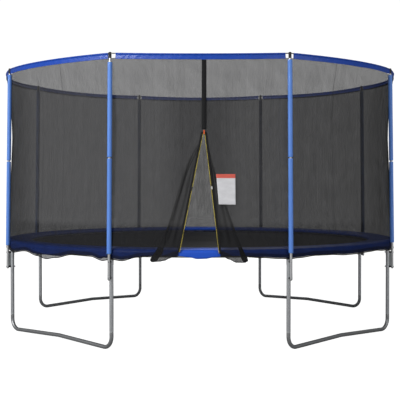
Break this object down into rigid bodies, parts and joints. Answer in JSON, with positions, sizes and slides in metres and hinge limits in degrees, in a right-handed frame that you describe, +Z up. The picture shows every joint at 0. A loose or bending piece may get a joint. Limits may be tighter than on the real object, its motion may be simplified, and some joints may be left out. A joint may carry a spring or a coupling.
{
  "type": "trampoline",
  "caption": "Round garden trampoline with padded net poles, a stiffened top ring, a net with a zipped door, a spring pad and W-shaped legs.",
  "frame": {"origin": "floor level under the middle of the jumping mat", "axes": "+Z up, the doorway faces -Y, +X to the right of someone who looks at the doorway from outside"},
  "size_m": [4.2862, 4.2901, 2.7199],
  "materials": {
    "galvanised_tube": "galvanised",
    "base_tube": "galvanised, darker",
    "pole_tube": "galvanised",
    "bracket_steel": "satin grey",
    "foam": "matt foam with PVC skin",
    "black_plastic": "matt",
    "grey_plastic": "matt",
    "zinc_fastener": "zinc plated",
    "fibreglass": "satin",
    "blue_cover": "glossy coated fabric",
    "net": "open mesh",
    "hem_cord": "braided elastic",
    "webbing": "woven webbing",
    "patch": "plain coated fabric",
    "zip_tape": "woven tape with moulded teeth",
    "zip_metal": "satin",
    "pull_tab": "woven loop",
    "mat_fabric": "woven polypropylene",
    "spring_steel": "zinc plated"
  },
  "bodies": {
    "frame": {"top_rail_1": "galvanised_tube", "top_rail_2": "galvanised_tube", "top_rail_3": "galvanised_tube", "top_rail_4": "galvanised_tube", "top_rail_5": "galvanised_tube", "top_rail_6": "galvanised_tube", "top_rail_7": "galvanised_tube", "top_rail_8": "galvanised_tube", "leg_base_1": "base_tube", "leg_base_2": "base_tube", "leg_base_3": "base_tube", "leg_base_4": "base_tube", "leg_upright_1": "galvanised_tube", "leg_upright_2": "galvanised_tube", "leg_upright_3": "galvanised_tube", "leg_upright_4": "galvanised_tube", "leg_upright_5": "galvanised_tube", "leg_upright_6": "galvanised_tube", "leg_upright_7": "galvanised_tube", "leg_upright_8": "galvanised_tube", "pole_1": "pole_tube", "pole_2": "pole_tube", "pole_3": "pole_tube", "pole_4": "pole_tube", "pole_5": "pole_tube", "pole_6": "pole_tube", "pole_7": "pole_tube", "pole_8": "pole_tube", "foam_sleeves_lower": "foam", "foam_sleeves_upper": "foam", "pole_caps": "black_plastic", "pole_spacers": "black_plastic", "pole_brackets": "bracket_steel", "pole_bolts": "zinc_fastener", "pole_nuts": "zinc_fastener", "rail_screws": "zinc_fastener", "ring_rods": "fibreglass", "ring_bands": "blue_cover", "net_left": "net", "net_rear": "net", "net_right": "net", "net_front_left": "net", "net_front_right": "net", "net_hem_cord": "hem_cord", "door_flap_left": "net", "door_flap_right": "net", "door_strap": "webbing", "door_patch": "patch", "springs": "spring_steel", "spring_pad": "blue_cover"},
    "bed": {"jump_mat": "mat_fabric", "mat_rim_band": "webbing", "mat_rings": "zinc_fastener"},
    "door_left": {"zip_tape_left": "zip_tape", "buckle_plug": "black_plastic"},
    "door_right": {"zip_tape_right": "zip_tape", "buckle_socket": "grey_plastic"},
    "slider": {"zip_slider": "zip_metal"},
    "pull": {"zip_pull": "pull_tab"}
  },
  "joints": [
    {"name": "mat_bounce", "type": "slide", "parent": "frame", "child": "bed", "axis": [0, 0, 1], "range_m": [-0.25, 0], "stiffness_N_per_m": 6000, "springref_m": 0.02, "deforming": ["springs"]},
    {"name": "zip_slide", "type": "slide", "parent": "frame", "child": "slider", "axis": [0, -0.0403, -0.9992], "range_m": [0, 1.06]},
    {"name": "zip_pull_swing", "type": "hinge", "parent": "slider", "child": "pull", "pos_m": [0.036, -2.10989, 2.00048], "axis": [-1, 0, 0], "range_deg": [0, 110]},
    {"name": "door_left_swing", "type": "hinge", "parent": "frame", "child": "door_left", "pos_m": [0.036, -2.098, 2], "axis": [0, -0.9992, 0.0403], "range_deg": [0, 11.2], "deforming": ["door_flap_left"]},
    {"name": "door_right_swing", "type": "hinge", "parent": "frame", "child": "door_right", "pos_m": [0.036, -2.098, 2], "axis": [0, -0.9992, 0.0403], "range_deg": [-6.8, 0], "deforming": ["door_flap_right"]}
  ],
  "couplings": [
    {"joint": "door_left_swing", "follows": "zip_slide", "rad_per_m": 0.18441},
    {"joint": "door_right_swing", "follows": "zip_slide", "rad_per_m": -0.11196}
  ]
}
